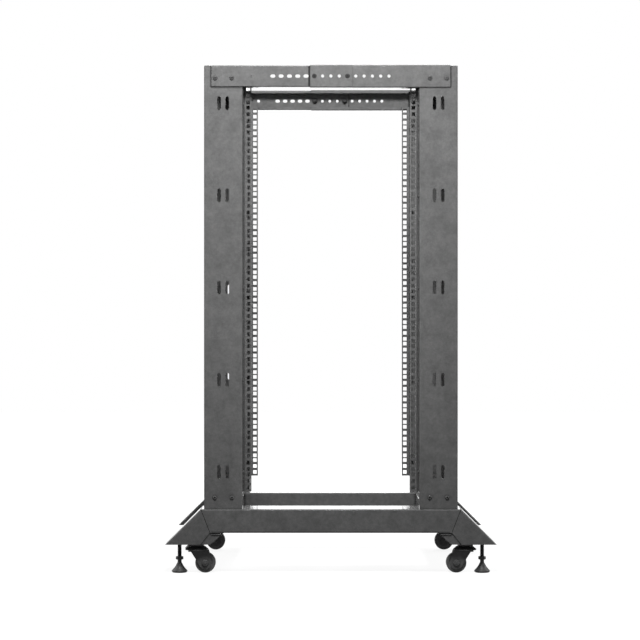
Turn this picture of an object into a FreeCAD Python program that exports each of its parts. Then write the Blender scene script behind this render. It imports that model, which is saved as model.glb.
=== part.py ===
import FreeCAD, Part
import math
import os

os.makedirs("parts", exist_ok=True)

V = FreeCAD.Vector
ORIGIN = V(0, 0, 0)
ALONG_X = V(1, 0, 0)
ALONG_Y = V(0, 1, 0)
ALONG_Z = V(0, 0, 1)

# Open frame rack standing on the floor, in millimetres.
# X runs from the front (minus) to the rear (plus), Y across the width, Z up from the floor.
# Every corner piece is drawn for the rear left corner (plus X, plus Y) and mirrored from there.

# Sheet thicknesses
sheet = 1.5
base_sheet = 2.0

# Inside radii of the folds
bend = 1.5
base_bend = 2.0

# Heights of the base
base_top = 156.0
base_height = 57.0
foot_bottom = 70.4

# Equipment bay
rack_units = 22
unit_pitch = 44.45
first_hole_rise = 6.35
second_hole_rise = 22.225
third_hole_rise = 38.1
bay_bottom = 199.7
rail_end_margin = 3.5
rail_hole_spacing = 465.1
square_hole = 9.5

# Places across the width, measured from the centre line of the equipment holes
hole_edge_margin = 7.55
rail_face_offset = 12.45
post_face_offset = 39.45
base_face_offset = 42.45

# Posts
half_depth = 306.0
post_depth = 92.5
slot_width = 8.5
slot_length = 32.5
slot_spacing = 19.8
slot_count = 5
slot_pitch = 5 * unit_pitch
slot_first_z = 246.0

# Side rails, angles with a second set of square holes behind each post
rail_leg_width = 21.2
rail_flange_gap = 4.0
side_hole_inset = 8.0

# Top side beams, two nesting channels on each side
beam_centre_z = 1199.9
inner_beam_height = 52.0
nest_gap = 0.1
beam_end_setback = 18.0
beam_overlap = 50.0
inner_beam_depth = 25.5
beam_lip = 7.5
beam_notch_gap = 1.5
beam_hole_pitch = 20.0
beam_hole_r = 3.75
beam_slot_width = 8.0
beam_slot_length = 12.0
beam_hole_reach = 140.0
clamp_hole_x = 40.0
lone_hole_x = 191.5
joggle_length = 3.0

# Top cross-beams
top_cross_depth = 74.8
top_cross_height = 38.5
fold_clearance = 0.2

# Base frame
base_width = 95.0
base_overhang = 8.0
mitre_run = 22.0
mitre_gap = 1.2
bottom_cross_depth = 86.0
bottom_cross_setback = 2.0
bracket_width = 65.0
bracket_height = 44.0
bracket_foot = 40.0

# Wedge feet
foot_reach = 86.0
web_heel_run = 23.0
carrier_heel_back = 24.0
carrier_heel_run = 33.0
carrier_thickness = 2.0
foot_tab_inset = 8.0
weld_nut_flats = 17.0
weld_nut_height = 8.0

# Levelling feet
leveller_tip_inset = 33.0
leveller_face_inset = 35.0
leveller_rod_r = 5.0
leveller_top_z = 84.0
leveller_fit = 0.05
leveller_hex_flats = 16.0
leveller_hex_bottom = 31.0
leveller_hex_top = 39.0
pad_profile = [(17.0, 0.0), (19.3, 3.5), (18.7, 5.0), (8.3, 18.6), (5.0, 25.0)]

# Casters
caster_tip_inset = 75.0
caster_face_inset = 35.0
caster_trail = 21.0
wheel_r = 24.5
wheel_width = 20.0
wheel_tread_chamfer = 2.0
wheel_face_recess = 2.0
wheel_rim = 6.0
hub_r = 9.0
axle_r = 4.0
axle_fit = 0.05
axle_head_r = 6.5
axle_head_length = 3.5
plate_length = 36.0
plate_width = 50.0
plate_thickness = 4.0
race_r = 14.0
fork_gap = 0.5
crown_top = 63.5
crown_thickness = 3.0
dish_top_r = 20.0
dish_r = 28.0
dish_drop = 6.5
dish_rim = 2.0
cheek_top = 58.0
cheek_back = 20.0
cheek_shoulder = 51.0
cheek_neck = 13.5
cheek_front = 28.5
cheek_corner = 5.0
cheek_inner = 12.0
cheek_thickness = 2.5
cheek_end_r = 15.0
kingpin_r = 4.0
kingpin_fit = 0.05
kingpin_head_r = 6.5
kingpin_head_height = 3.0

# Worked out from the values above
hole_y = rail_hole_spacing / 2
post_flange_edge_y = hole_y - hole_edge_margin
rail_face_y = hole_y + rail_face_offset
post_face_y = hole_y + post_face_offset
base_face_y = hole_y + base_face_offset
bay_height = rack_units * unit_pitch
rail_bottom = bay_bottom - rail_end_margin
rail_top = bay_bottom + bay_height + rail_end_margin
post_inner_x = half_depth - post_depth
post_centre_x = half_depth - post_depth / 2
post_top = beam_centre_z + inner_beam_height / 2 - sheet - bend - nest_gap
rail_inner_x = post_inner_x - rail_leg_width
beam_end_x = half_depth - beam_end_setback
base_end_x = half_depth + base_overhang
base_lower_end_x = base_end_x - mitre_run
foot_tip_x = base_end_x + foot_reach
foot_heel_x = base_lower_end_x + web_heel_run
carrier_heel_x = foot_heel_x - carrier_heel_back
carrier_top_x = carrier_heel_x - carrier_heel_run
leveller_x = foot_tip_x - leveller_tip_inset
leveller_y = base_face_y - leveller_face_inset
caster_x = foot_tip_x - caster_tip_inset
caster_y = base_face_y - caster_face_inset
base_bottom = base_top - base_height
base_inner_y = base_face_y - base_width
outer_beam_height = inner_beam_height + 2 * (sheet + nest_gap)
inner_flange_edge_y = post_face_y + sheet - inner_beam_depth
outer_flange_edge_y = inner_flange_edge_y - sheet - nest_gap
outer_beam_lip = beam_lip + sheet + nest_gap
cut_margin = 1.0


def box(x0, x1, y0, y1, z0, z1):
    corner = V(min(x0, x1), min(y0, y1), min(z0, z1))
    return Part.makeBox(abs(x1 - x0), abs(y1 - y0), abs(z1 - z0), corner)


def fuse(pieces):
    body = pieces[0].multiFuse(pieces[1:])
    return body.removeSplitter()


def cut(body, tools):
    return body.cut(Part.makeCompound(tools))


def prism_xz(points, y0, y1):
    # Flat outline in the XZ plane, given as (x, z), run from y0 to y1.
    corners = [V(x, y0, z) for x, z in points]
    face = Part.Face(Part.makePolygon(corners + corners[:1]))
    return face.extrude(V(0, y1 - y0, 0))


def prism_xy(points, z0, z1):
    # Flat outline in the XY plane, given as (x, y), run from z0 to z1.
    corners = [V(x, y, z0) for x, y in points]
    face = Part.Face(Part.makePolygon(corners + corners[:1]))
    return face.extrude(V(0, 0, z1 - z0))


# In-plane axes and run direction of each drawing plane
PLANES = {
    "xy": (ALONG_X, ALONG_Y, ALONG_Z),
    "xz": (ALONG_X, ALONG_Z, ALONG_Y),
    "yz": (ALONG_Y, ALONG_Z, ALONG_X),
}


def offset_path(path, distance):
    # Path moved sideways, to its left when the distance is positive.
    normals = []
    for (u0, v0), (u1, v1) in zip(path, path[1:]):
        length = math.hypot(u1 - u0, v1 - v0)
        normals.append(((v0 - v1) / length, (u1 - u0) / length))
    moved = []
    for k, (u, v) in enumerate(path):
        a = normals[max(k - 1, 0)]
        b = normals[min(k, len(normals) - 1)]
        scale = distance / (1 + a[0] * b[0] + a[1] * b[1])
        moved.append((u + (a[0] + b[0]) * scale, v + (a[1] + b[1]) * scale))
    return moved


def rounded_edges(points, turning_radius):
    # Straight runs joined by tangent arcs; the radius is asked for each turn, left or right.
    edges = []
    start = points[0]
    for before, corner, after in zip(points, points[1:], points[2:]):
        d1 = (corner - before).normalize()
        d2 = (after - corner).normalize()
        turn = d1.cross(d2)
        r = turning_radius(turn)
        reach = r * math.tan(d1.getAngle(d2) / 2)
        enter = corner - d1 * reach
        leave = corner + d2 * reach
        inward = (d2 - d1).normalize()
        middle = corner + inward * (math.hypot(reach, r) - r)
        edges.append(Part.makeLine(start, enter))
        edges.append(Part.Arc(enter, middle, leave).toShape())
        start = leave
    edges.append(Part.makeLine(start, points[-1]))
    return edges


def sheet_wire(plane, path, thickness, inner_r, station):
    # Section of a folded sheet. The path is its face on the left, seen along the path.
    u_axis, v_axis, run = PLANES[plane]
    up = u_axis.cross(v_axis)
    shift = run * station
    near = [u_axis * u + v_axis * v + shift for u, v in path]
    far = [u_axis * u + v_axis * v + shift for u, v in offset_path(path, -thickness)]
    outer_r = inner_r + thickness

    def near_radius(turn):
        return inner_r if turn.dot(up) > 0 else outer_r

    def far_radius(turn):
        return outer_r if turn.dot(up) > 0 else inner_r

    edges = rounded_edges(near, near_radius)
    edges.append(Part.makeLine(near[-1], far[-1]))
    edges += rounded_edges(far, far_radius)
    edges.append(Part.makeLine(far[0], near[0]))
    return Part.Wire(Part.__sortEdges__(edges))


def folded_sheet(plane, path, thickness, inner_r, start, end):
    wire = sheet_wire(plane, path, thickness, inner_r, start)
    return Part.Face(wire).extrude(PLANES[plane][2] * (end - start))


def obround(length, width, centre, along, through, depth):
    # Slot cutter: length runs along one direction, the cut goes through another.
    r = width / 2
    half = (length - width) / 2
    across = through.cross(along)
    a = centre + along * half + across * r
    b = centre - along * half + across * r
    c = centre - along * half - across * r
    d = centre + along * half - across * r
    start = centre + along * (half + r)
    end = centre - along * (half + r)
    edges = [
        Part.makeLine(a, b),
        Part.Arc(b, end, c).toShape(),
        Part.makeLine(c, d),
        Part.Arc(d, start, a).toShape(),
    ]
    face = Part.Face(Part.Wire(edges))
    face.translate(through * (-depth / 2))
    return face.extrude(through * depth)


def hexagon(flats, x, y, z0, z1):
    r = flats / math.sqrt(3)
    points = []
    for k in range(6):
        angle = math.radians(60 * k)
        points.append((x + r * math.cos(angle), y + r * math.sin(angle)))
    return prism_xy(points, z0, z1)


def tangent_point(px, pz, cx, cz, r, side):
    # Point where a line from (px, pz) touches a circle; side picks one of the two.
    dx = px - cx
    dz = pz - cz
    distance = math.hypot(dx, dz)
    angle = math.atan2(dz, dx) + side * math.acos(r / distance)
    return (cx + r * math.cos(angle), cz + r * math.sin(angle))


def bay_hole_heights():
    heights = []
    for unit in range(rack_units):
        for rise in (first_hole_rise, second_hole_rise, third_hole_rise):
            heights.append(bay_bottom + unit * unit_pitch + rise)
    return heights


def make_post():
    # Channel with its web outwards; the longer flange has the equipment holes.
    outline = [
        (post_inner_x, rail_face_y),
        (post_inner_x, post_face_y),
        (half_depth, post_face_y),
        (half_depth, post_flange_edge_y),
    ]
    post = folded_sheet("xy", outline, sheet, bend, base_top, post_top)
    tools = []
    for k in range(slot_count):
        for side in (-1, 1):
            x = post_centre_x + side * slot_spacing / 2
            centre = V(x, post_face_y - sheet / 2, slot_first_z + k * slot_pitch)
            tools.append(obround(slot_length, slot_width, centre, ALONG_Z, ALONG_Y, 4 * sheet))
    half = square_hole / 2
    x0 = half_depth - sheet - cut_margin
    x1 = half_depth + cut_margin
    for z in bay_hole_heights():
        tools.append(box(x0, x1, hole_y - half, hole_y + half, z - half, z + half))
    return cut(post, tools)


def make_rail():
    # Angle bolted on the inner flange of the post, square holes in the leg beside the bay.
    back_y = rail_face_y - sheet
    outline = [
        (post_inner_x, post_face_y - rail_flange_gap),
        (post_inner_x, back_y),
        (rail_inner_x, back_y),
    ]
    rail = folded_sheet("xy", outline, sheet, bend, rail_bottom, rail_top)
    half = square_hole / 2
    hole_x = rail_inner_x + side_hole_inset
    y0 = back_y - cut_margin
    y1 = rail_face_y + cut_margin
    tools = []
    for z in bay_hole_heights():
        tools.append(box(hole_x - half, hole_x + half, y0, y1, z - half, z + half))
    return cut(rail, tools)


def beam_hole_positions(first, last):
    count = int(round((last - first) / beam_hole_pitch)) + 1
    return [first + k * beam_hole_pitch for k in range(count)]


def beam_section(web_y, edge_y, height, lip):
    # Outer face of a lipped top side channel, from its upper lip round to the lower one.
    z0 = beam_centre_z - height / 2
    z1 = beam_centre_z + height / 2
    return [
        (edge_y, z1 - lip),
        (edge_y, z1),
        (web_y, z1),
        (web_y, z0),
        (edge_y, z0),
        (edge_y, z0 + lip),
    ]


def beam_notch(edge_y, height):
    # Clears the lower flange and both lips where the channel lies on a post.
    low = beam_centre_z - height / 2 - cut_margin
    start = post_inner_x - sheet - beam_notch_gap
    return box(start, half_depth, edge_y - cut_margin, post_face_y, low, post_top + nest_gap)


def make_inner_beam(lone_hole):
    # Channel on the front posts; it slides inside the other one.
    edge_y = inner_flange_edge_y
    section = beam_section(post_face_y + sheet, edge_y, inner_beam_height, beam_lip)
    beam = folded_sheet("yz", section, sheet, bend, -beam_end_x, beam_overlap)
    tools = [beam_notch(edge_y, inner_beam_height).mirror(ORIGIN, ALONG_X)]
    for x in beam_hole_positions(-beam_hole_reach, clamp_hole_x):
        centre = V(x, post_face_y + sheet / 2, beam_centre_z)
        slot = obround(beam_slot_length, beam_slot_width, centre, ALONG_X, ALONG_Y, 4 * sheet)
        tools.append(slot)
    if lone_hole:
        start = V(-lone_hole_x, post_face_y - cut_margin, beam_centre_z)
        tools.append(Part.makeCylinder(beam_hole_r, sheet + 2 * cut_margin, start, ALONG_Y))
    return cut(beam, tools)


def make_outer_beam():
    # Channel on the rear posts; its end is stepped out by one sheet over the inner channel.
    edge_y = outer_flange_edge_y
    near = beam_section(post_face_y + sheet, edge_y, outer_beam_height, outer_beam_lip)
    far = beam_section(post_face_y + 2 * sheet, edge_y, outer_beam_height, outer_beam_lip)
    step_start = beam_overlap + nest_gap
    step_end = beam_overlap + joggle_length
    over = folded_sheet("yz", far, sheet, bend, -beam_overlap, step_start)
    straight = folded_sheet("yz", near, sheet, bend, step_end, beam_end_x)
    ends = [
        sheet_wire("yz", far, sheet, bend, step_start),
        sheet_wire("yz", near, sheet, bend, step_end),
    ]
    step = Part.makeLoft(ends, True, True)
    beam = fuse([over, step, straight])
    tools = [beam_notch(edge_y, outer_beam_height)]
    for x in beam_hole_positions(-clamp_hole_x, beam_hole_reach):
        start = V(x, post_face_y - cut_margin, beam_centre_z)
        length = 2 * sheet + 2 * cut_margin
        tools.append(Part.makeCylinder(beam_hole_r, length, start, ALONG_Y))
    return cut(beam, tools)


def make_top_cross_beam():
    # Channel open downwards between the two posts of one end, its ends bolted to their webs.
    x0 = post_inner_x + sheet + bend + fold_clearance
    x1 = x0 + top_cross_depth
    z0 = post_top - top_cross_height
    reach = post_face_y - sheet
    outline = [(x0, z0), (x0, post_top), (x1, post_top), (x1, z0)]
    pieces = [folded_sheet("xz", outline, sheet, bend, -reach, reach)]
    inset = sheet + bend
    for side in (-1, 1):
        y0 = side * (reach - sheet)
        pieces.append(box(x0 + sheet, x1 - sheet, y0, side * reach, z0, post_top - inset))
        pieces.append(box(x0 + inset, x1 - inset, y0, side * reach, z0, post_top - sheet))
    return fuse(pieces)


def make_base_beam():
    # Side channel of the base, open downwards; its wide top carries the posts.
    section = [
        (base_inner_y, base_bottom),
        (base_inner_y, base_top),
        (base_face_y, base_top),
        (base_face_y, base_bottom),
    ]
    beam = folded_sheet("yz", section, base_sheet, base_bend, -base_end_x, base_end_x)
    slope = mitre_run / base_height
    low = base_bottom - cut_margin
    high = base_top + cut_margin
    beyond = base_end_x + mitre_gap + cut_margin
    waste = [
        (base_lower_end_x - mitre_gap - slope * cut_margin, low),
        (base_end_x - mitre_gap + slope * cut_margin, high),
        (beyond, high),
        (beyond, low),
    ]
    end = prism_xz(waste, base_inner_y - cut_margin, base_face_y + cut_margin)
    return cut(beam, [end, end.mirror(ORIGIN, ALONG_X)])


def make_bottom_cross_beam():
    # Channel open downwards between the side beams, its ends bolted to their inner legs.
    x1 = base_end_x - bottom_cross_setback
    x0 = x1 - bottom_cross_depth
    reach = base_inner_y
    outline = [(x0, base_bottom), (x0, base_top), (x1, base_top), (x1, base_bottom)]
    pieces = [folded_sheet("xz", outline, base_sheet, base_bend, -reach, reach)]
    inset = base_sheet + base_bend
    low = base_bottom
    for side in (-1, 1):
        y0 = side * (reach - base_sheet)
        y1 = side * reach
        pieces.append(box(x0 + base_sheet, x1 - base_sheet, y0, y1, low, base_top - inset))
        pieces.append(box(x0 + inset, x1 - inset, y0, y1, low, base_top - base_sheet))
    return fuse(pieces)


def make_post_bracket():
    # Angle inside the foot of a post: one leg on the base flange, one on the post web.
    y_back = post_face_y - sheet
    x0 = post_centre_x - bracket_width / 2
    outline = [
        (y_back, base_top + bracket_height),
        (y_back, base_top),
        (y_back - bracket_foot, base_top),
    ]
    return folded_sheet("yz", outline, base_sheet, base_bend, x0, x0 + bracket_width)


def is_slope_edge(edge, y, shoulder, tip):
    # The long outer edge between the sloping top and the web at that Y.
    if len(edge.Vertexes) < 2:
        return False
    ends = [edge.Vertexes[0].Point, edge.Vertexes[1].Point]
    wanted = [V(shoulder[0], y, shoulder[1]), V(tip[0], y, tip[1])]
    return all(min(p.distanceToPoint(q) for q in ends) < cut_margin for p in wanted)


def make_wedge_foot():
    # Sloping outrigger of sheet at the end of a side beam, with a web on both sides. Its
    # carrier plate runs on behind the outer web, up into the side beam and down to the caster.
    face = base_face_y
    inner_face = face - base_sheet
    back = base_inner_y
    tip = (foot_tip_x, foot_bottom)
    shoulder = (base_end_x, base_top)
    mitre_low = (base_lower_end_x, base_bottom)
    side = [shoulder, tip, (foot_heel_x, foot_bottom), mitre_low]
    webs = [prism_xz(side, inner_face, face), prism_xz(side, back, back + base_sheet)]
    heel = (carrier_heel_x, foot_bottom)
    heel_top = (carrier_top_x, base_bottom)
    outline = [shoulder, tip, heel, heel_top, mitre_low]
    block = prism_xz(outline, back, inner_face)
    slope_rise = (base_top - foot_bottom) / foot_reach
    drop = base_sheet * math.hypot(1, slope_rise)
    heel_run = carrier_heel_run / (base_bottom - foot_bottom)
    heel_shift = base_sheet * math.hypot(1, heel_run)
    inner_low = foot_bottom + base_sheet
    hollow = [
        (base_end_x, base_top - drop),
        (foot_tip_x - (drop + base_sheet) / slope_rise, inner_low),
        (carrier_heel_x - heel_run * base_sheet + heel_shift, inner_low),
        (carrier_top_x + heel_shift, base_bottom),
        (carrier_top_x + heel_shift, base_top - drop),
    ]
    shell = block.cut(prism_xz(hollow, back - cut_margin, inner_face))
    carrier_outline = [
        (carrier_top_x, base_top - foot_tab_inset),
        (base_end_x + base_sheet, base_top - foot_tab_inset),
        (base_end_x + base_sheet, foot_bottom),
        heel,
        heel_top,
    ]
    carrier = prism_xz(carrier_outline, inner_face - carrier_thickness, inner_face)
    nut = hexagon(weld_nut_flats, leveller_x, leveller_y, inner_low, inner_low + weld_nut_height)
    foot = fuse(webs + [shell, carrier, nut])
    folds = []
    for y in (face, back):
        folds += [e for e in foot.Edges if is_slope_edge(e, y, shoulder, tip)]
    foot = foot.makeFillet(base_sheet + base_bend, folds)
    start = V(leveller_x, leveller_y, foot_bottom - cut_margin)
    depth = base_sheet + weld_nut_height + 2 * cut_margin
    bore = Part.makeCylinder(leveller_rod_r + leveller_fit, depth, start, ALONG_Z)
    return cut(foot, [bore])


def make_leveller():
    # Turned foot: pad, neck and threaded rod in one, with a hexagon for the spanner.
    corners = [V(0, 0, pad_profile[0][1])]
    for r, z in pad_profile:
        corners.append(V(r, 0, z))
    chamfer = leveller_rod_r / 5
    corners.append(V(leveller_rod_r, 0, leveller_top_z - chamfer))
    corners.append(V(leveller_rod_r - chamfer, 0, leveller_top_z))
    corners.append(V(0, 0, leveller_top_z))
    face = Part.Face(Part.makePolygon(corners + corners[:1]))
    turned = face.revolve(ORIGIN, ALONG_Z, 360)
    turned.translate(V(leveller_x, leveller_y, 0))
    grip = hexagon(
        leveller_hex_flats, leveller_x, leveller_y, leveller_hex_bottom, leveller_hex_top
    )
    return fuse([turned, grip])


def make_caster_plate():
    # Fixing plate, bearing race and kingpin of a swivel caster.
    plate = box(
        caster_x - plate_length / 2,
        caster_x + plate_length / 2,
        caster_y - plate_width / 2,
        caster_y + plate_width / 2,
        foot_bottom - plate_thickness,
        foot_bottom,
    )
    race_top = foot_bottom - plate_thickness
    race_bottom = crown_top + fork_gap
    race = Part.makeCylinder(
        race_r, race_top - race_bottom, V(caster_x, caster_y, race_bottom), ALONG_Z
    )
    head_top = crown_top - crown_thickness - fork_gap
    head_bottom = head_top - kingpin_head_height
    pin = Part.makeCylinder(
        kingpin_r, race_top - head_bottom, V(caster_x, caster_y, head_bottom), ALONG_Z
    )
    head = Part.makeCylinder(
        kingpin_head_r, kingpin_head_height, V(caster_x, caster_y, head_bottom), ALONG_Z
    )
    return fuse([plate, race, pin, head])


def make_caster_fork():
    # Dished crown with two tapering cheeks and the fixed axle; the wheel trails inwards.
    crown_low = crown_top - crown_thickness
    dish_low = crown_top - dish_drop
    wall = crown_thickness
    section = [
        (0, crown_top),
        (dish_top_r, crown_top),
        (dish_r, dish_low),
        (dish_r, dish_low - dish_rim),
        (dish_r - wall, dish_low - dish_rim),
        (dish_top_r - wall / 2, crown_low),
        (0, crown_low),
    ]
    corners = [V(r, 0, z) for r, z in section]
    dish = Part.Face(Part.makePolygon(corners + corners[:1])).revolve(ORIGIN, ALONG_Z, 360)
    cheek_outer = cheek_inner + cheek_thickness
    trail = caster_trail
    back = (-cheek_neck, cheek_shoulder)
    front = (cheek_front, cheek_top - cheek_corner)
    left = tangent_point(back[0], back[1], trail, wheel_r, cheek_end_r, 1)
    right = tangent_point(front[0], front[1], trail, wheel_r, cheek_end_r, -1)
    upper = [
        left,
        back,
        (-cheek_back, cheek_shoulder),
        (-cheek_back, cheek_top),
        (cheek_front - cheek_corner, cheek_top),
        front,
        right,
    ]
    pieces = [dish]
    for side in (-1, 1):
        y = min(side * cheek_inner, side * cheek_outer)
        points = [V(x, y, z) for x, z in upper]
        edges = [Part.makeLine(a, b) for a, b in zip(points, points[1:])]
        low = V(trail, y, wheel_r - cheek_end_r)
        edges.append(Part.Arc(points[-1], low, points[0]).toShape())
        pieces.append(Part.Face(Part.Wire(edges)).extrude(V(0, cheek_thickness, 0)))
        head_y = min(side * cheek_outer, side * (cheek_outer + axle_head_length))
        origin = V(trail, head_y, wheel_r)
        pieces.append(Part.makeCylinder(axle_head_r, axle_head_length, origin, ALONG_Y))
    origin = V(trail, -cheek_outer, wheel_r)
    pieces.append(Part.makeCylinder(axle_r, 2 * cheek_outer, origin, ALONG_Y))
    fork = fuse(pieces)
    start = V(0, 0, crown_low - cut_margin)
    depth = crown_thickness + 2 * cut_margin
    bore = Part.makeCylinder(kingpin_r + kingpin_fit, depth, start, ALONG_Z)
    fork = cut(fork, [bore])
    fork = fork.mirror(ORIGIN, ALONG_X)
    fork.translate(V(caster_x, caster_y, 0))
    return fork


def make_caster_wheel():
    # Solid tread with a recessed face between hub and rim.
    half = wheel_width / 2
    web = half - wheel_face_recess
    bore = axle_r + axle_fit
    profile = [
        (bore, -half),
        (hub_r, -half),
        (hub_r, -web),
        (wheel_r - wheel_rim, -web),
        (wheel_r - wheel_rim, -half),
        (wheel_r - wheel_tread_chamfer, -half),
        (wheel_r, -half + wheel_tread_chamfer),
        (wheel_r, half - wheel_tread_chamfer),
        (wheel_r - wheel_tread_chamfer, half),
        (wheel_r - wheel_rim, half),
        (wheel_r - wheel_rim, web),
        (hub_r, web),
        (hub_r, half),
        (bore, half),
    ]
    corners = [V(r, y, 0) for r, y in profile]
    face = Part.Face(Part.makePolygon(corners + corners[:1]))
    wheel = face.revolve(ORIGIN, ALONG_Y, 360)
    wheel.translate(V(caster_x - caster_trail, caster_y, wheel_r))
    return wheel


def write(shape, name):
    shape.exportStep("parts/" + name + ".step")


ENDS = {"front": -1, "rear": 1}
SIDES = {"right": -1, "left": 1}


def placed(shape, end, side):
    if end < 0:
        shape = shape.mirror(ORIGIN, ALONG_X)
    if side < 0:
        shape = shape.mirror(ORIGIN, ALONG_Y)
    return shape


CORNER_PIECES = {
    "post": make_post(),
    "rail": make_rail(),
    "post_bracket": make_post_bracket(),
    "wedge_foot": make_wedge_foot(),
    "leveller": make_leveller(),
    "caster_plate": make_caster_plate(),
    "caster_fork": make_caster_fork(),
    "caster_wheel": make_caster_wheel(),
}
END_PIECES = {
    "top_cross_beam": make_top_cross_beam(),
    "bottom_cross_beam": make_bottom_cross_beam(),
}
SIDE_PIECES = {
    "top_beam_outer": make_outer_beam(),
    "base_beam": make_base_beam(),
}

for name, shape in CORNER_PIECES.items():
    for end_name, end in ENDS.items():
        for side_name, side in SIDES.items():
            write(placed(shape, end, side), name + "_" + end_name + "_" + side_name)

for name, shape in END_PIECES.items():
    for end_name, end in ENDS.items():
        write(placed(shape, end, 1), name + "_" + end_name)

for name, shape in SIDE_PIECES.items():
    for side_name, side in SIDES.items():
        write(placed(shape, 1, side), name + "_" + side_name)

for side_name, side in SIDES.items():
    beam = make_inner_beam(lone_hole=side > 0)
    write(placed(beam, 1, side), "top_beam_inner_" + side_name)
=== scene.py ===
import math

import bmesh
import bpy
from mathutils import Matrix, Vector


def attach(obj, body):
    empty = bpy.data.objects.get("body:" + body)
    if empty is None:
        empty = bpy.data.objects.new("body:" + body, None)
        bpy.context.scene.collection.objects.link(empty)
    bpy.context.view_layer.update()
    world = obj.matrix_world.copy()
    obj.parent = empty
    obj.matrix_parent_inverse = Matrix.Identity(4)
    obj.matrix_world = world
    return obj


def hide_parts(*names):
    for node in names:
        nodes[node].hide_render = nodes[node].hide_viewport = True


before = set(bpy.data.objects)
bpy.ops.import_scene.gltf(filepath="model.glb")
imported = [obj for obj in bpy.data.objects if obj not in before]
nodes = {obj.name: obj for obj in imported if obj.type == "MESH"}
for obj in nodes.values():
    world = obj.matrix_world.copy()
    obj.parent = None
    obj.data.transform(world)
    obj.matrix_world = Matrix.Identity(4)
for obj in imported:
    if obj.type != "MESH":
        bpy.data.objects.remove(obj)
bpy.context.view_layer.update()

MM = 0.001
ENDS = {"front": -1, "rear": 1}
SIDES = {"right": -1, "left": 1}

# The photograph's view: a level camera square on to the rack's right side, in metres
photo_size = 640
sensor = 36.0
focal_pixels = 1972.0
camera_place = (-0.0263, -5.026, 0.612)

# Places that the small pieces share with the CAD, in millimetres
side_face_y = 275.0
beam_web_y = 273.5
post_web_y = 272.0
cross_end_plate_y = 269.0
bracket_back_y = 268.5
splice_outer_y = 182.0
splice_inner_y = 178.0
beam_top_z = 1225.9
post_top_z = 1222.8
beam_axis_z = 1199.9
beam_bottom_z = 1173.9
base_top_z = 156.0
splice_z = 127.0
base_bottom_z = 99.0
seam_x = 52.3
beam_end_x = 288.0
beam_zone = (1160.0, 1230.0)
post_edge_x = 306.0
post_flange_back_x = 215.0
rail_flange_x = 212.0
caster_x = 325.0
caster_y = 240.0
caster_trail = 21.0
caster_plate_low_z = 66.4
foot_sheet_high_z = 72.4
wheel_z = 24.5
leveller_x = 367.0
leveller_y = 240.0

# Screws of the frame, in millimetres
nut_flats = 10.0
nut_height = 5.0
screw_radius = 2.95
screw_core_radius = 2.6
screw_tip_radius = 2.2
screw_tip_rise = 0.4
thread_depth = 0.35
thread_pitch = 1.0
screw_reach = 8.0


# Small helpers for node trees. Lengths in them are in metres, and noise scales per metre.

def new_material(name):
    material = bpy.data.materials.new(name)
    material.use_nodes = True
    tree = material.node_tree
    shader = tree.nodes["Principled BSDF"]
    return material, tree, shader


def object_coordinates(tree):
    return tree.nodes.new("ShaderNodeTexCoord").outputs["Object"]


def separate(tree, vector):
    node = tree.nodes.new("ShaderNodeSeparateXYZ")
    tree.links.new(vector, node.inputs[0])
    return node.outputs["X"], node.outputs["Y"], node.outputs["Z"]


def noise(tree, vector, scale, detail=3.0, roughness=0.55):
    node = tree.nodes.new("ShaderNodeTexNoise")
    node.inputs["Scale"].default_value = scale
    node.inputs["Detail"].default_value = detail
    node.inputs["Roughness"].default_value = roughness
    tree.links.new(vector, node.inputs["Vector"])
    return node.outputs["Fac"]


def shades(tree, value, dark, light, margin=0.3):
    # Grey that goes from dark to light while the value rises from the margin to one minus it.
    node = tree.nodes.new("ShaderNodeValToRGB")
    stops = ((margin, dark), (1.0 - margin, light))
    for element, (place, tone) in zip(node.color_ramp.elements, stops):
        element.position = place
        element.color = (tone, tone, tone, 1.0)
    tree.links.new(value, node.inputs["Fac"])
    return node.outputs["Color"]


def grey(value):
    return (value, value, value)


def mix(tree, factor, first, second, blend="MIX"):
    node = tree.nodes.new("ShaderNodeMix")
    node.data_type = "RGBA"
    node.blend_type = blend
    if isinstance(factor, float):
        node.inputs["Factor"].default_value = factor
    else:
        tree.links.new(factor, node.inputs["Factor"])
    for socket, value in ((node.inputs[6], first), (node.inputs[7], second)):
        if isinstance(value, tuple):
            socket.default_value = (*value, 1.0)
        else:
            tree.links.new(value, socket)
    return node.outputs[2]


def tinted(tree, colour, by):
    return mix(tree, 1.0, colour, by, "MULTIPLY")


def maths(tree, operation, *values):
    node = tree.nodes.new("ShaderNodeMath")
    node.operation = operation
    for socket, value in zip(node.inputs, values):
        if isinstance(value, (int, float)):
            socket.default_value = value
        else:
            tree.links.new(value, socket)
    return node.outputs[0]


def product(tree, first, *others):
    for other in others:
        first = maths(tree, "MULTIPLY", first, other)
    return first


def greatest(tree, first, *others):
    for other in others:
        first = maths(tree, "MAXIMUM", first, other)
    return first


def remap(tree, value, low, high, to_low, to_high):
    node = tree.nodes.new("ShaderNodeMapRange")
    tree.links.new(value, node.inputs["Value"])
    limits = {"From Min": low, "From Max": high, "To Min": to_low, "To Max": to_high}
    for name, number in limits.items():
        node.inputs[name].default_value = number
    return node.outputs["Result"]


def bump(tree, height, strength, distance, normal=None):
    node = tree.nodes.new("ShaderNodeBump")
    node.inputs["Strength"].default_value = strength
    node.inputs["Distance"].default_value = distance
    tree.links.new(height, node.inputs["Height"])
    if normal is not None:
        tree.links.new(normal, node.inputs["Normal"])
    return node.outputs["Normal"]


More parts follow.
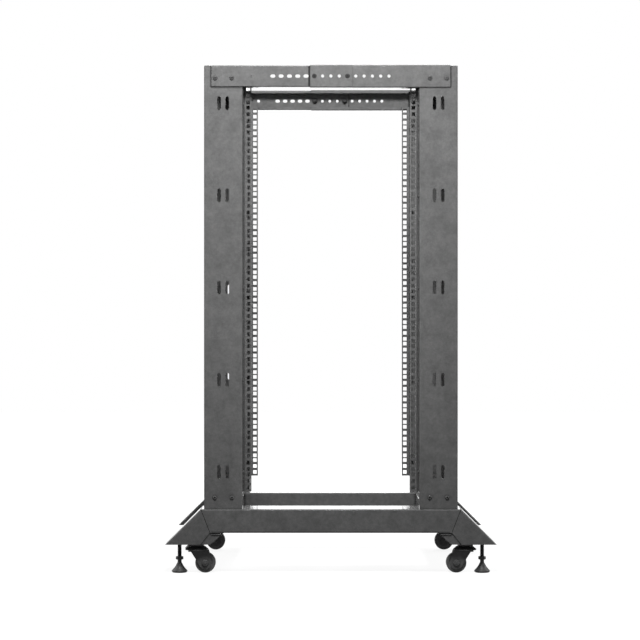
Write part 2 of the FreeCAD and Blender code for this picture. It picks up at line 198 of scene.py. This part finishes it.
def edge_mask(tree, radius):
    # One along the sharp edges of a piece and nought on its flats.
    bevel = tree.nodes.new("ShaderNodeBevel")
    bevel.samples = 4
    bevel.inputs["Radius"].default_value = radius
    geometry = tree.nodes.new("ShaderNodeNewGeometry")
    dot = tree.nodes.new("ShaderNodeVectorMath")
    dot.operation = "DOT_PRODUCT"
    tree.links.new(bevel.outputs["Normal"], dot.inputs[0])
    tree.links.new(geometry.outputs["Normal"], dot.inputs[1])
    return remap(tree, dot.outputs["Value"], 1.0, 0.8, 0.0, 1.0)


def painted_crevice_shade(tree, distance, darkest):
    # Painted shade: a factor, from ambient occlusion, that falls from one to the given value in
    # seams and inner corners.
    node = tree.nodes.new("ShaderNodeAmbientOcclusion")
    node.samples = 6
    node.inputs["Distance"].default_value = distance
    return remap(tree, node.outputs["AO"], 0.55, 0.97, darkest, 1.0)


def band(tree, value, low, high, soft=0.3):
    # One where the value lies between the two bounds and nought elsewhere. The bounds and the
    # softness of the change are in millimetres.
    rise = remap(tree, value, (low - soft) * MM, (low + soft) * MM, 0.0, 1.0)
    fall = remap(tree, value, (high - soft) * MM, (high + soft) * MM, 1.0, 0.0)
    return product(tree, rise, fall)


# Materials

def seam_shade_line(tree, x, across, height):
    # Painted shade where the outer channel of a top beam ends on the inner one.
    half_width = 2.3
    forward = maths(tree, "MULTIPLY", x, -1.0)
    return product(tree, band(tree, forward, seam_x - half_width, seam_x + half_width, 0.4),
                   band(tree, across, beam_web_y - 0.3, beam_web_y + 0.4),
                   band(tree, height, *beam_zone))


def lap_shadow_line(tree, along, across, height):
    # Painted shadow on the posts' webs round the ends of the top beams.
    strength = 0.7
    full_width = 2.2
    faded_width = 4.2
    beyond = maths(tree, "MAXIMUM", maths(tree, "SUBTRACT", along, beam_end_x * MM), 0.0)
    below = maths(tree, "MAXIMUM", maths(tree, "SUBTRACT", beam_bottom_z * MM, height), 0.0)
    away = maths(tree, "ADD", beyond, below)
    return product(tree, remap(tree, away, full_width * MM, faded_width * MM, strength, 0.0),
                   band(tree, across, post_web_y - 0.4, post_web_y + 0.4),
                   band(tree, along, rail_flange_x - 0.5, post_edge_x + 4.0),
                   band(tree, height, *beam_zone))


def fold_shade_line(tree, along, across, height):
    # Painted shade on the posts' outer folds.
    strength = 0.3
    return product(tree, band(tree, along, post_edge_x - 2.4, post_edge_x + 4.0),
                   band(tree, across, post_web_y - 3.4, post_web_y + 0.5),
                   band(tree, height, base_top_z, post_top_z - 0.8), strength)


def hem_shade_line(tree, along, across, height):
    # Painted shade too along the lower edge of the base.
    strength = 0.5
    return product(tree, band(tree, height, base_bottom_z - 1.0, base_bottom_z + 3.5, 0.8),
                   band(tree, across, side_face_y - 0.5, side_face_y + 0.5),
                   band(tree, along, -10.0, beam_end_x), strength)


# Painted shade lines: the strongest of the seam, lap, fold and hem masks.
def painted_shade_lines(tree, where):
    x, y, height = separate(tree, where)
    along = maths(tree, "ABSOLUTE", x)
    across = maths(tree, "ABSOLUTE", y)
    return greatest(tree, seam_shade_line(tree, x, across, height),
                    lap_shadow_line(tree, along, across, height),
                    fold_shade_line(tree, along, across, height),
                    hem_shade_line(tree, along, across, height))


def make_paint():
    # Fine textured powder coat under its own clear skin: clouded, blotched and pebbled, darker
    # along the edges, with painted shade in the seams, inner corners and along the joints, folds
    # and lower edge, with a few nicks, and glossy at a glancing angle.
    dark_coat = 0.15
    light_coat = 0.164
    # Near black, for the darker edges and for the painted shade lines.
    edge_and_painted_shade_dark = grey(0.02)
    bared = grey(0.3)
    material, tree, shader = new_material("powder_coat")
    where = object_coordinates(tree)
    cloud = noise(tree, where, 6.0, 3.0)
    blotch = noise(tree, where, 34.0, 3.0, 0.6)
    mottle = noise(tree, where, 110.0, 4.0, 0.65)
    grain = noise(tree, where, 650.0, 3.0, 0.7)
    tone = shades(tree, cloud, dark_coat, light_coat, 0.32)
    for value, darkest in ((blotch, 0.77), (mottle, 0.78), (grain, 0.72)):
        tone = tinted(tree, tone, shades(tree, value, darkest, 1.0))
    edges = edge_mask(tree, 1.3 * MM)
    tone = mix(tree, maths(tree, "MULTIPLY", edges, 0.42), tone, edge_and_painted_shade_dark)
    nicks = remap(tree, mottle, 0.6, 0.66, 0.0, 0.5)
    tone = mix(tree, maths(tree, "MULTIPLY", edges, nicks), tone, bared)
    # Painted shade in seams and inner corners, from ambient occlusion.
    tone = tinted(tree, tone, painted_crevice_shade(tree, 7.0 * MM, 0.2))
    # Painted shade along the top beams' seams, round their ends on the posts, on the posts' outer
    # folds and along the base's lower edge.
    tone = mix(tree, painted_shade_lines(tree, where), tone, edge_and_painted_shade_dark)
    tree.links.new(tone, shader.inputs["Base Color"])
    tree.links.new(remap(tree, grain, 0.3, 0.7, 0.5, 0.66), shader.inputs["Roughness"])
    shader.inputs["IOR"].default_value = 1.1
    shader.inputs["Coat Weight"].default_value = 1.0
    shader.inputs["Coat Roughness"].default_value = 0.12
    shader.inputs["Coat IOR"].default_value = 1.12
    pebbles = bump(tree, grain, 0.35, 0.3 * MM)
    tree.links.new(bump(tree, mottle, 0.15, 0.6 * MM, pebbles), shader.inputs["Normal"])
    return material


def make_dark_metal(name, tone_value, roughness):
    # Blackened or painted steel with a slightly uneven sheen, rubbed edges and painted shade in its
    # seams and inner corners.
    rubbed = grey(0.2)
    unevenness = 0.08
    material, tree, shader = new_material(name)
    where = object_coordinates(tree)
    cloud = noise(tree, where, 60.0, 4.0)
    grain = noise(tree, where, 1500.0, 2.0)
    tone = shades(tree, cloud, tone_value * 0.8, tone_value * 1.25)
    worn = maths(tree, "MULTIPLY", edge_mask(tree, 0.5 * MM), 0.4)
    tone = mix(tree, worn, tone, rubbed)
    # Painted shade in seams and inner corners, from ambient occlusion.
    tone = tinted(tree, tone, painted_crevice_shade(tree, 6.0 * MM, 0.5))
    tree.links.new(tone, shader.inputs["Base Color"])
    gloss = remap(tree, cloud, 0.3, 0.7, roughness - unevenness, roughness + unevenness)
    tree.links.new(gloss, shader.inputs["Roughness"])
    shader.inputs["IOR"].default_value = 1.25
    tree.links.new(bump(tree, grain, 0.15, 0.1 * MM), shader.inputs["Normal"])
    return material


def make_wheel():
    # Rubber tyre round a hard plastic core with turned rings. The distance from the axle tells
    # them apart, and is the same for all four wheels.
    core_radius = 18.3
    tyre_radius = 18.8
    ring_pitch = 1.6
    tyre_roughening = 0.22
    material, tree, shader = new_material("wheel_rubber")
    where = object_coordinates(tree)
    x, _, z = separate(tree, where)
    axle_x = (caster_x - caster_trail) * MM
    across = maths(tree, "SUBTRACT", maths(tree, "ABSOLUTE", x), axle_x)
    up = maths(tree, "SUBTRACT", z, wheel_z * MM)
    squares = maths(tree, "ADD", product(tree, across, across), product(tree, up, up))
    radius = maths(tree, "SQRT", squares)
    tyre = remap(tree, radius, core_radius * MM, tyre_radius * MM, 0.0, 1.0)
    cloud = noise(tree, where, 80.0, 4.0)
    grain = noise(tree, where, 1200.0, 2.0)
    tyre_tone = shades(tree, cloud, 0.064, 0.086)
    core_tone = shades(tree, cloud, 0.074, 0.094)
    tree.links.new(mix(tree, tyre, core_tone, tyre_tone), shader.inputs["Base Color"])
    gloss = remap(tree, cloud, 0.3, 0.7, 0.4, 0.5)
    roughened = maths(tree, "ADD", gloss, maths(tree, "MULTIPLY", tyre, tyre_roughening))
    tree.links.new(roughened, shader.inputs["Roughness"])
    shader.inputs["Specular IOR Level"].default_value = 0.4
    turned = maths(tree, "SINE", maths(tree, "MULTIPLY", radius, 2 * math.pi / (ring_pitch * MM)))
    moulded = bump(tree, turned, 0.12, 0.1 * MM)
    tree.links.new(bump(tree, grain, 0.2, 0.2 * MM, moulded), shader.inputs["Normal"])
    return material


paint = make_paint()
caster_metal = make_dark_metal("caster_metal", 0.075, 0.45)
leveller_metal = make_dark_metal("leveller_metal", 0.05, 0.42)
bolt_metal = make_dark_metal("bolt_metal", 0.05, 0.4)
clamp_metal = make_dark_metal("clamp_metal", 0.02, 0.5)
rubber = make_wheel()


def node_material(name):
    if name.startswith("caster_wheel"):
        return rubber
    if name.startswith("leveller"):
        return leveller_metal
    if name.startswith("caster_"):
        return caster_metal
    return paint


for name, obj in nodes.items():
    obj.data.materials.clear()
    obj.data.materials.append(node_material(name))


# Small pieces. Their parts are built about the Z axis in millimetres and then put in place.

segments = 24
hexagon = 6


def ring(radius, height, sides=0):
    # A circle of that radius, or a regular polygon with that distance to its flats.
    points = []
    for k in range(segments):
        angle = 2 * math.pi * k / segments
        reach = radius
        if sides:
            sector = 2 * math.pi / sides
            reach = radius / math.cos(angle % sector - sector / 2)
        points.append(Vector((reach * math.cos(angle), reach * math.sin(angle), height)))
    return points


def add_skin(mesh, rows):
    # Faces from row to row of vertices, and a flat face at both ends.
    count = len(rows[0])
    for low, high in zip(rows, rows[1:]):
        for k in range(count):
            after = (k + 1) % count
            mesh.faces.new((low[k], low[after], high[after], high[k]))
    mesh.faces.new(list(reversed(rows[0])))
    mesh.faces.new(rows[-1])


def add_rings(mesh, place, rings):
    add_skin(mesh, [[mesh.verts.new(place @ (point * MM)) for point in row] for row in rings])


def add_turned(mesh, place, outline):
    # Turned solid from an outline of radii and heights.
    add_rings(mesh, place, [ring(radius, height) for radius, height in outline])


def placing(x, y, z, axis):
    # The frame whose Z axis points along the given one, at a place given in millimetres.
    turn = Vector(axis).to_track_quat("Z", "Y").to_matrix().to_4x4()
    return Matrix.Translation(Vector((x, y, z)) * MM) @ turn


def add_button_head(mesh, place, radius, height):
    # Low domed head with a hexagon socket, standing on the sheet at nought.
    socket = radius * 0.4
    flat = 0.55
    rise = 0.15
    rings = [ring(radius, -0.3), ring(radius, height * rise)]
    for share in (0.3, 0.55, 0.8):
        angle = share * math.pi / 2
        reach = radius * (math.cos(angle) * (1 - flat) + flat)
        rings.append(ring(reach, height * (rise + (1 - rise) * math.sin(angle))))
    rings.append(ring(radius * flat, height))
    rings.append(ring(socket, height, hexagon))
    rings.append(ring(socket, height * 0.35, hexagon))
    add_rings(mesh, place, rings)


def add_flush_head(mesh, place, outline, socket, socket_floor):
    # Flat head of that outline with a hexagon socket sunk into its top.
    top = outline[-1][1]
    rings = [ring(radius, height) for radius, height in outline]
    rings.append(ring(socket, top, hexagon))
    rings.append(ring(socket, socket_floor, hexagon))
    add_rings(mesh, place, rings)


def add_thread(mesh, place, radius, depth, pitch, start, end):
    # A true helix: crest and root lines run round together, flattened at both ends.
    steps = int(math.ceil((end - start + 2 * pitch) / pitch * segments))

    def corner(k, reach, rise):
        angle = 2 * math.pi * k / segments
        height = min(max(start - pitch + pitch * k / segments + rise, start), end)
        point = Vector((reach * math.cos(angle), reach * math.sin(angle), height))
        return mesh.verts.new(place @ (point * MM))

    crests = [corner(k, radius, 0.0) for k in range(steps + segments + 1)]
    roots = [corner(k, radius - depth, pitch / 2) for k in range(steps + 1)]
    for k in range(steps):
        mesh.faces.new((crests[k], crests[k + 1], roots[k + 1], roots[k]))
        below = (roots[k], roots[k + 1], crests[k + segments + 1], crests[k + segments])
        mesh.faces.new(below)


def add_nut(mesh, place, reach):
    # Chamfered hexagon nut on a washer, with the threaded end of its screw.
    washer = nut_flats * 0.66
    seat = 1.0
    top = seat + nut_height
    washer_top = 1.2
    add_turned(mesh, place, [(washer, -0.2), (washer, 0.8), (washer - 0.4, washer_top),
                             (nut_flats * 0.4, washer_top)])
    rings = [ring(nut_flats / 2, seat, hexagon),
             ring(nut_flats / 2, seat + nut_height * 0.85, hexagon),
             ring(nut_flats * 0.48, top),
             ring(nut_flats * 0.3, top),
             ring(nut_flats * 0.28, top - 0.4)]
    add_rings(mesh, place, rings)
    add_thread(mesh, place, screw_radius, thread_depth, thread_pitch, nut_height, reach)
    add_turned(mesh, place, [(screw_core_radius, nut_height - 1.0), (screw_core_radius, reach),
                             (screw_tip_radius, reach + screw_tip_rise)])


def add_bolt_and_nut(mesh, head_place, nut_place, radius, height, reach=screw_reach):
    # Button head outside, nut inside and the end of the screw through it.
    add_button_head(mesh, head_place, radius, height)
    add_nut(mesh, nut_place, reach)


def add_bead(mesh, start, end, radius, wander):
    # Weld bead between two points: round, rippled as it cooled and thinner at its ends.
    sides = 10
    ripple = 0.8
    start = Vector(start)
    end = Vector(end)
    along = (end - start).normalized()
    side = along.orthogonal().normalized()
    other = along.cross(side)
    count = max(4, int((end - start).length / ripple))
    rows = []
    for k in range(count + 1):
        share = k / count
        swell = 1 + wander * math.sin(k * 1.7) + wander * 0.5 * math.sin(k * 0.61 + 1.3)
        taper = min(1.0, 0.45 + 8 * min(share, 1 - share))
        centre = start + (end - start) * share
        row = []
        for turn in range(sides):
            angle = 2 * math.pi * turn / sides
            offset = side * math.cos(angle) + other * math.sin(angle)
            row.append(mesh.verts.new((centre + offset * radius * swell * taper) * MM))
        rows.append(row)
    add_skin(mesh, rows)


def finish_piece(mesh, name, body, material):
    # Smooth over gentle angles, crisp at the others.
    crisp_angle = math.radians(35)
    bmesh.ops.remove_doubles(mesh, verts=mesh.verts, dist=1e-6)
    bmesh.ops.dissolve_degenerate(mesh, edges=mesh.edges, dist=1e-6)
    bmesh.ops.recalc_face_normals(mesh, faces=mesh.faces)
    for face in mesh.faces:
        face.smooth = True
    for edge in mesh.edges:
        if len(edge.link_faces) == 2 and edge.calc_face_angle() > crisp_angle:
            edge.smooth = False
    data = bpy.data.meshes.new(name)
    mesh.to_mesh(data)
    mesh.free()
    data.materials.append(material)
    obj = bpy.data.objects.new(name, data)
    bpy.context.scene.collection.objects.link(obj)
    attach(obj, body)
    return obj


def make_beam_end_bolts(corner, end, side):
    bolt_z = 1195.0
    mesh = bmesh.new()
    for x in (239.0, 279.0):
        head = placing(end * x, side * beam_web_y, bolt_z, (0, side, 0))
        nut = placing(end * x, side * cross_end_plate_y, bolt_z, (0, -side, 0))
        add_bolt_and_nut(mesh, head, nut, 5.6, 1.45)
    finish_piece(mesh, f"beam_end_bolts_{corner}", "frame", bolt_metal)


def make_foot_bolts(corner, end, side):
    # Two screws through the post and its bracket, two down through the base beam,
    # and two from the end plate of the bottom cross beam into the base beam.
    upright_z = 184.0
    down_y = 248.0
    half_grip = 2.0
    head_size = (5.0, 2.6)
    mesh = bmesh.new()
    for x in (238.5, 280.0):
        head = placing(end * x, side * post_web_y, upright_z, (0, side, 0))
        nut = placing(end * x, side * bracket_back_y, upright_z, (0, -side, 0))
        add_bolt_and_nut(mesh, head, nut, *head_size)
        head = placing(end * x, side * down_y, base_top_z + half_grip, (0, 0, 1))
        nut = placing(end * x, side * down_y, base_top_z - half_grip, (0, 0, -1))
        add_bolt_and_nut(mesh, head, nut, *head_size)
    for x in (246.0, 292.0):
        head = placing(end * x, side * splice_inner_y, splice_z, (0, -side, 0))
        nut = placing(end * x, side * splice_outer_y, splice_z, (0, side, 0))
        add_bolt_and_nut(mesh, head, nut, *head_size)
    finish_piece(mesh, f"foot_bolts_{corner}", "frame", paint)


def make_rail_screws(corner, end, side):
    lowest_z = 244.0
    spacing = 222.25
    screw_y = 257.0
    mesh = bmesh.new()
    for k in range(5):
        z = lowest_z + k * spacing
        head = placing(end * rail_flange_x, side * screw_y, z, (-end, 0, 0))
        nut = placing(end * post_flange_back_x, side * screw_y, z, (end, 0, 0))
        add_bolt_and_nut(mesh, head, nut, 4.6, 2.0, 7.5)
    finish_piece(mesh, f"rail_screws_{corner}", "frame", bolt_metal)


def make_caster_bolts(corner, end, side):
    # Flush screws from below, nuts inside the foot.
    half_x = 12.5
    half_y = 19.0
    mesh = bmesh.new()
    for across in (-half_x, half_x):
        for along in (-half_y, half_y):
            x = end * caster_x + across
            y = side * caster_y + along
            head = placing(x, y, caster_plate_low_z, (0, 0, -1))
            add_flush_head(mesh, head, [(4.5, -0.5), (4.5, 0.05)], 1.9, -0.4)
            add_nut(mesh, placing(x, y, foot_sheet_high_z, (0, 0, 1)), screw_reach)
    finish_piece(mesh, f"caster_bolts_{corner}", "frame", bolt_metal)


def make_axle_nuts(corner, end, side):
    # Washer, dished hexagon nut and axle tip on either cheek of a fork.
    cheek = 14.5
    mesh = bmesh.new()
    for way in (-1, 1):
        place = placing(end * (caster_x - caster_trail), side * caster_y + way * cheek, wheel_z,
                        (0, way, 0))
        add_turned(mesh, place, [(8.6, -0.2), (8.6, 0.6), (8.2, 0.9), (7.0, 0.9)])
        rings = [ring(6.9, 0.7, hexagon), ring(6.9, 3.2, hexagon)]
        rings += [ring(6.7, 3.7), ring(4.2, 3.7), ring(4.0, 3.2)]
        add_rings(mesh, place, rings)
        add_turned(mesh, place, [(3.4, 3.0), (3.4, 4.3), (2.9, 4.7)])
    finish_piece(mesh, f"axle_nuts_{corner}", f"swivel_{corner}", caster_metal)


def make_weld_beads(corner, end, side):
    # On the carrier plate under the side beam, along the foot's floor inside, and between the
    # foot's slope and the side beam's top. Each row gives a bead's X from and to, Y from and
    # to, height, radius and unevenness.
    beads = [(263.5, 290.5, 273.1, 273.1, 94.6, 1.75, 0.08),
             (299.0, 352.0, 270.8, 270.8, 72.9, 1.6, 0.1),
             (314.5, 314.5, 188.0, 268.0, 154.2, 1.3, 0.12)]
    mesh = bmesh.new()
    for x0, x1, y0, y1, z, radius, wander in beads:
        add_bead(mesh, (end * x0, side * y0, z), (end * x1, side * y1, z), radius, wander)
    finish_piece(mesh, f"weld_beads_{corner}", "frame", paint)


def make_leveller(corner, end, side):
    # Pad with a rolled rim and hollow slope, neck, spanner hexagon and threaded rod.
    rim = [(15.6, 0.0), (17.0, 0.15), (18.6, 1.8), (19.2, 3.0), (19.3, 3.7), (19.0, 4.6),
           (18.3, 5.4)]
    neck = [(7.4, 20.4), (6.2, 22.2), (5.2, 24.2), (4.9, 25.5), (4.9, 31.0)]
    slope_steps = 8
    slope_run = 10.1
    slope_rise = 13.2
    slope_sag = 0.9
    rod_top = 83.4
    name = f"leveller_{corner}"
    place = Matrix.Translation(Vector((end * leveller_x, side * leveller_y, 0)) * MM)
    mesh = bmesh.new()
    rim_radius, rim_z = rim[-1]
    slope = []
    for k in range(1, slope_steps + 1):
        share = k / slope_steps
        sag = slope_sag * math.sin(math.pi * share)
        slope.append((rim_radius - slope_run * share - sag, rim_z + slope_rise * share))
    add_turned(mesh, place, rim + slope + neck)
    rings = [ring(7.2, 31.0), ring(7.75, 31.2), ring(8.0, 31.9, hexagon)]
    rings += [ring(8.0, 38.1, hexagon), ring(7.75, 38.8), ring(7.2, 39.0)]
    add_rings(mesh, place, rings)
    add_thread(mesh, place, 5.0, 0.75, 1.5, 39.0, rod_top)
    add_turned(mesh, place, [(4.3, 38.5), (4.3, rod_top), (3.8, rod_top + 0.6)])
    piece = f"levelling_foot_{corner}"
    obj = finish_piece(mesh, piece, piece, leveller_metal)
    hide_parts(name)


def make_clamp_bolts(side_name, side):
    # Flush screws that lock the two halves of a top beam, nuts inside.
    half_spacing = 40.0
    reach = 9.0
    outline = [(6.0, -1.6), (6.0, -0.08), (5.7, 0.02)]
    mesh = bmesh.new()
    for x in (-half_spacing, half_spacing):
        head = placing(x, side * side_face_y, beam_axis_z, (0, side, 0))
        add_flush_head(mesh, head, outline, 2.3, -1.2)
        add_nut(mesh, placing(x, side * post_web_y, beam_axis_z, (0, -side, 0)), reach)
    finish_piece(mesh, f"clamp_bolts_{side_name}", "frame", clamp_metal)


def make_post_cap(corner, end, side):
    # Cap over the open end of a post beyond the top beam, level with the beam's top.
    low_x, high_x = 288.6, 305.8
    low_y, high_y = 225.4, 271.8
    corner_radius = 2.6
    corner_steps = 4
    quarters = [(high_x, low_y, -90), (high_x, high_y, 0), (low_x, high_y, 90),
                (low_x, low_y, 180)]
    outline = []
    for x, y, start in quarters:
        inward = Vector((-1 if x == high_x else 1, -1 if y == high_y else 1))
        centre = Vector((x, y)) + inward * corner_radius
        for step in range(corner_steps + 1):
            angle = math.radians(start + step * 90 / corner_steps)
            outline.append(centre + Vector((math.cos(angle), math.sin(angle))) * corner_radius)
    middle = Vector(((low_x + high_x) / 2, (low_y + high_y) / 2))
    levels = [(0.0, post_top_z), (0.0, beam_top_z - 0.9), (0.35, beam_top_z - 0.25),
              (1.0, beam_top_z)]
    rings = []
    for shrink, z in levels:
        row = []
        for point in outline:
            way = point - middle
            x = point.x - math.copysign(shrink, way.x)
            y = point.y - math.copysign(shrink, way.y)
            row.append(Vector((end * x, side * y, z)))
        rings.append(row)
    mesh = bmesh.new()
    add_rings(mesh, Matrix.Identity(4), rings)
    finish_piece(mesh, f"post_cap_{corner}", "frame", paint)


def make_plug_screw():
    # Painted screw flush in the near inner beam, where the far one has an open hole.
    mesh = bmesh.new()
    head = placing(-191.5, -beam_web_y, beam_axis_z + 1.0, (0, -1, 0))
    add_flush_head(mesh, head, [(4.4, -0.5), (4.4, 0.25), (4.1, 0.4)], 1.5, -0.3)
    finish_piece(mesh, "plug_screw", "frame", paint)


corner_pieces = (make_beam_end_bolts, make_foot_bolts, make_rail_screws, make_caster_bolts,
                 make_axle_nuts, make_weld_beads, make_leveller, make_post_cap)
for end_name, end in ENDS.items():
    for side_name, side in SIDES.items():
        for make_piece in corner_pieces:
            make_piece(f"{end_name}_{side_name}", end, side)
for side_name, side in SIDES.items():
    make_clamp_bolts(side_name, side)
make_plug_screw()


# Floor, surroundings, lamps and camera

def make_floor():
    # White to the camera and to reflections, with the rack's faint shadow kept near it.
    reach = 8.0
    shadow_near = 0.5
    shadow_far = 1.1
    shadow_share = 0.12
    floor_tone = 0.15
    mesh = bpy.data.meshes.new("floor")
    corners = [(-reach, -reach, 0), (reach, -reach, 0), (reach, reach, 0), (-reach, reach, 0)]
    mesh.from_pydata(corners, [], [(0, 1, 2, 3)])
    floor = bpy.data.objects.new("floor", mesh)
    bpy.context.scene.collection.objects.link(floor)
    material = bpy.data.materials.new("floor")
    material.use_nodes = True
    tree = material.node_tree
    tree.nodes.clear()
    output = tree.nodes.new("ShaderNodeOutputMaterial")
    length = tree.nodes.new("ShaderNodeVectorMath")
    length.operation = "LENGTH"
    tree.links.new(object_coordinates(tree), length.inputs[0])
    near = remap(tree, length.outputs["Value"], shadow_near, shadow_far, 1.0, 0.0)
    diffuse = tree.nodes.new("ShaderNodeBsdfDiffuse")
    diffuse.inputs["Color"].default_value = (*grey(floor_tone), 1)
    white = tree.nodes.new("ShaderNodeEmission")
    glow = maths(tree, "SUBTRACT", 1.0, maths(tree, "MULTIPLY", near, shadow_share))
    tree.links.new(glow, white.inputs["Strength"])
    shade = tree.nodes.new("ShaderNodeAddShader")
    tree.links.new(white.outputs[0], shade.inputs[0])
    tree.links.new(diffuse.outputs[0], shade.inputs[1])
    path = tree.nodes.new("ShaderNodeLightPath")
    seen = greatest(tree, path.outputs["Is Camera Ray"], path.outputs["Is Glossy Ray"])
    whole = tree.nodes.new("ShaderNodeMixShader")
    tree.links.new(seen, whole.inputs["Fac"])
    tree.links.new(diffuse.outputs[0], whole.inputs[1])
    tree.links.new(shade.outputs[0], whole.inputs[2])
    tree.links.new(whole.outputs[0], output.inputs["Surface"])
    mesh.materials.append(material)


def make_world():
    # White wherever it is seen, directly or by reflection, and hardly a source of light.
    white_level = 1.0
    light_level = 0.05
    world = bpy.data.worlds.new("studio")
    bpy.context.scene.world = world
    world.use_nodes = True
    tree = world.node_tree
    tree.nodes.clear()
    output = tree.nodes.new("ShaderNodeOutputWorld")
    seen = tree.nodes.new("ShaderNodeBackground")
    light = tree.nodes.new("ShaderNodeBackground")
    for node, level in ((seen, white_level), (light, light_level)):
        node.inputs["Color"].default_value = (1, 1, 1, 1)
        node.inputs["Strength"].default_value = level
    path = tree.nodes.new("ShaderNodeLightPath")
    rays = greatest(tree, path.outputs["Is Camera Ray"], path.outputs["Is Glossy Ray"],
                    path.outputs["Is Transmission Ray"])
    both = tree.nodes.new("ShaderNodeMixShader")
    tree.links.new(rays, both.inputs["Fac"])
    tree.links.new(light.outputs[0], both.inputs[1])
    tree.links.new(seen.outputs[0], both.inputs[2])
    tree.links.new(both.outputs[0], output.inputs["Surface"])


def add_light(data, name, place, target, power):
    data.energy = power
    light = bpy.data.objects.new(name, data)
    bpy.context.scene.collection.objects.link(light)
    light.location = place
    light.rotation_mode = "QUATERNION"
    light.rotation_quaternion = (Vector(target) - Vector(place)).to_track_quat("-Z", "Y")
    return light


def spot_light(name, place, target, power, angle, radius, hidden=False):
    data = bpy.data.lights.new(name, "SPOT")
    data.spot_size = math.radians(angle)
    data.spot_blend = 1.0
    data.shadow_soft_size = radius
    light = add_light(data, name, place, target, power)
    light.visible_camera = not hidden
    light.visible_glossy = not hidden


def area_light(name, place, target, power, size):
    data = bpy.data.lights.new(name, "AREA")
    data.shape = "SQUARE"
    data.size = size
    add_light(data, name, place, target, power)


def make_camera():
    data = bpy.data.cameras.new("photo_view")
    data.sensor_width = sensor
    data.lens = focal_pixels / photo_size * sensor
    camera = bpy.data.objects.new("photo_view", data)
    bpy.context.scene.collection.objects.link(camera)
    camera.location = camera_place
    camera.rotation_euler = (math.radians(90), 0, 0)
    bpy.context.scene.camera = camera


make_floor()
make_world()
spot_light("key", (-0.05, -1.375, 2.29), (-0.05, -0.275, 1.2), power=294.0, angle=100.0, radius=0.3)
spot_light("fill", (-0.03, -1.275, 0.4), (-0.03, -0.275, 0.7), power=15.9, angle=56.0, radius=0.25,
           hidden=True)
area_light("back", (0.0, 3.2, 1.0), (0, 0, 0.5), power=22.0, size=2.0)
area_light("back_high", (0.5, 2.6, 2.7), (0, 0, 0.6), power=75.0, size=1.6)
area_light("front_side", (-3.0, 0.3, 2.0), (0, 0, 0.6), power=60.0, size=1.6)
area_light("rear_side", (3.0, 0.3, 2.0), (0, 0, 0.6), power=60.0, size=1.6)
make_camera()
bpy.context.scene.view_settings.view_transform = "Standard"
